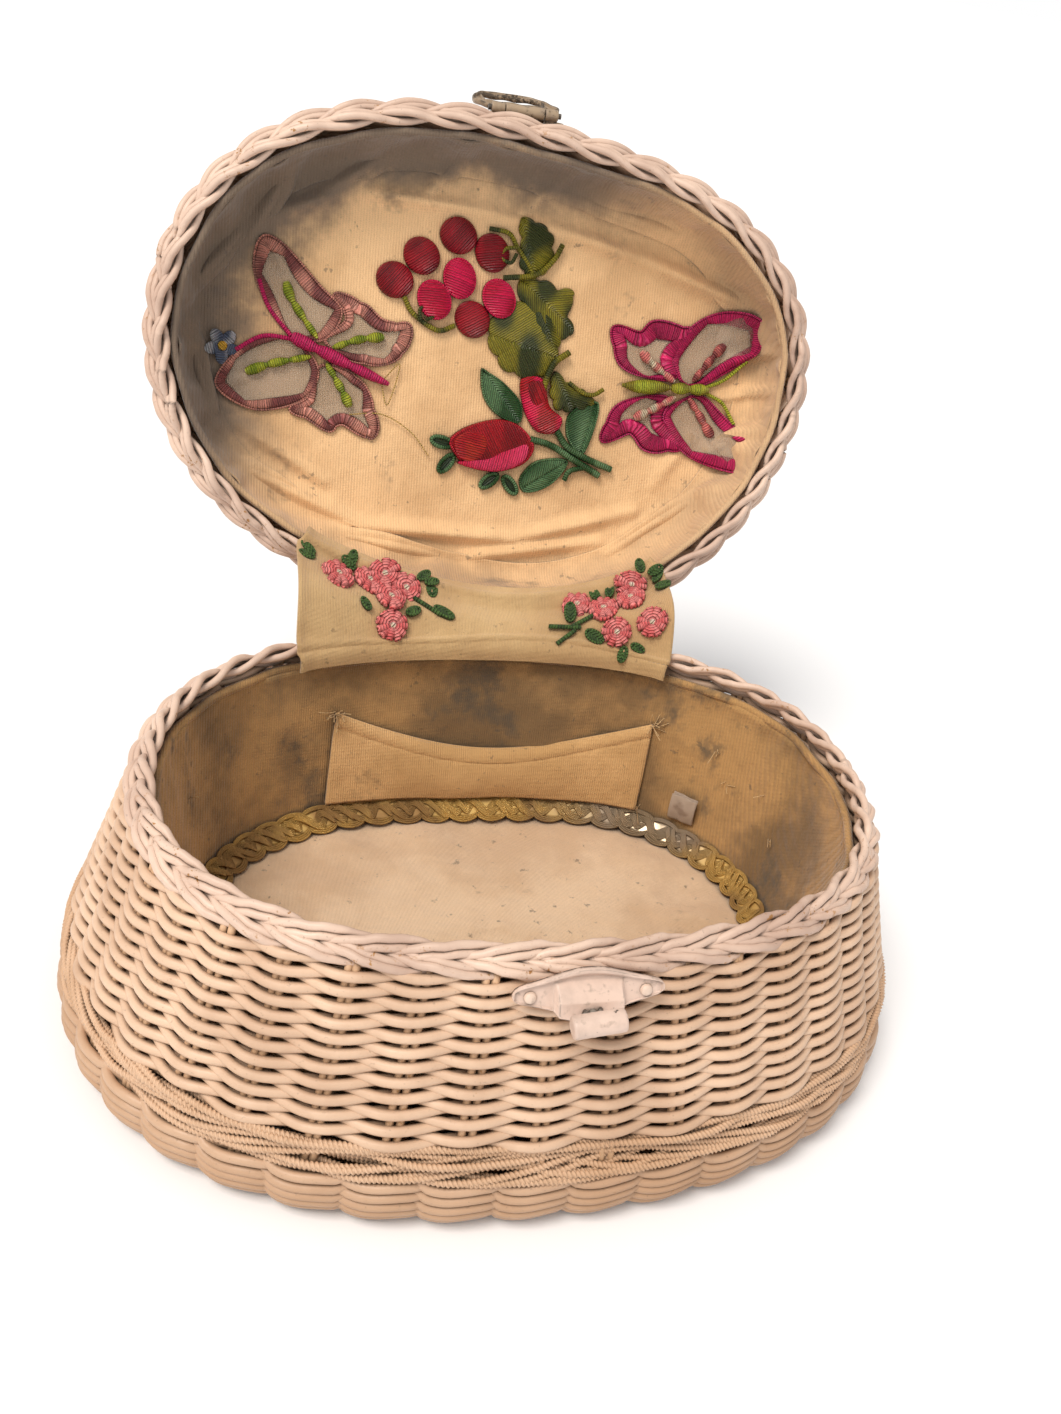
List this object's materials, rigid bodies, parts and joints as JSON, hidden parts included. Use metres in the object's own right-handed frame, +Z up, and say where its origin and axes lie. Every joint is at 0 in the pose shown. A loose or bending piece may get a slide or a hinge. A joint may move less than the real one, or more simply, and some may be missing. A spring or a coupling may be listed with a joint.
{
  "type": "sewing basket",
  "caption": "Oval wicker sewing basket with fabric lining, inner pocket, fabric-hinged domed lid with sewn appliques, and a turn-knob hasp latch.",
  "frame": {"origin": "middle of the resting plane under the oval basket, midway along its length and width", "axes": "+X along the basket's long side, +Y to the hinge, -Y to the latch, +Z up"},
  "size_m": [0.3032, 0.3183, 0.2772],
  "materials": {
    "wicker": "cream paint on willow, worn",
    "braid": "greyed cream paint on willow, chipped",
    "paper_cord": "twisted paper cord, painted cream",
    "lining": "khaki canvas, stained",
    "panel_cloth": "fine ribbed cream canvas",
    "card": "grey board",
    "gimp": "old gold metallic braid",
    "tag": "plain white woven tape",
    "latch_paint": "cream paint, worn at the edges",
    "steel": "dull plated",
    "strip_cloth": "tan canvas",
    "pink_flowers": "coral cotton, satin stitched",
    "pale_butterfly": "sheer organza with satin edges",
    "magenta_butterfly": "sheer organza with satin edges",
    "grape_bunch": "padded satin",
    "olive_leaves": "variegated satin stitch",
    "rose_sprig": "satin stitch",
    "blue_flower": "dull satin stitch"
  },
  "bodies": {
    "basket": {"base_sticks": "wicker", "base_weave": "wicker", "wall_stakes": "wicker", "wall_weavers": "wicker", "cord_band": "paper_cord", "foot_weavers": "wicker", "rim_border": "braid", "wall_lining": "lining", "floor_card": "card", "floor_pad": "panel_cloth", "gold_gimp": "gimp", "pocket": "lining", "care_tag": "tag", "latch_plate": "latch_paint", "latch_rivets": "latch_paint", "latch_washers": "steel", "hinge_strip": "strip_cloth", "sprig_left": "pink_flowers", "sprig_right": "pink_flowers"},
    "knob": {"turn_knob": "latch_paint", "knob_clip": "steel"},
    "lid": {"lid_sticks": "wicker", "lid_crown": "wicker", "lid_stakes": "wicker", "lid_weavers": "wicker", "lid_border": "braid", "lid_lining": "lining", "lid_card": "card", "lid_panel": "panel_cloth", "pale_butterfly": "pale_butterfly", "magenta_butterfly": "magenta_butterfly", "grape_bunch": "grape_bunch", "olive_leaves": "olive_leaves", "rose_sprig": "rose_sprig", "blue_flower": "blue_flower", "hasp_plate": "latch_paint", "hasp_rivets": "latch_paint", "hasp_pin": "steel"},
    "hasp": {"hasp_leaf": "latch_paint"}
  },
  "joints": [
    {"name": "lid_hinge", "type": "hinge", "parent": "basket", "child": "lid", "pos_m": [0, 0.096, 0.0962], "axis": [1, 0, 0], "range_deg": [0, 108], "deforming": ["hinge_strip", "sprig_left", "sprig_right"]},
    {"name": "hasp_hinge", "type": "hinge", "parent": "lid", "child": "hasp", "pos_m": [0.0045, 0.16665, 0.27481], "axis": [-1, 0, 0], "range_deg": [-147, 0]},
    {"name": "knob_turn", "type": "hinge", "parent": "basket", "child": "knob", "pos_m": [0.00264, -0.09993, 0.0819], "axis": [0, -0.9397, 0.342], "range_deg": [-6, 84]}
  ]
}
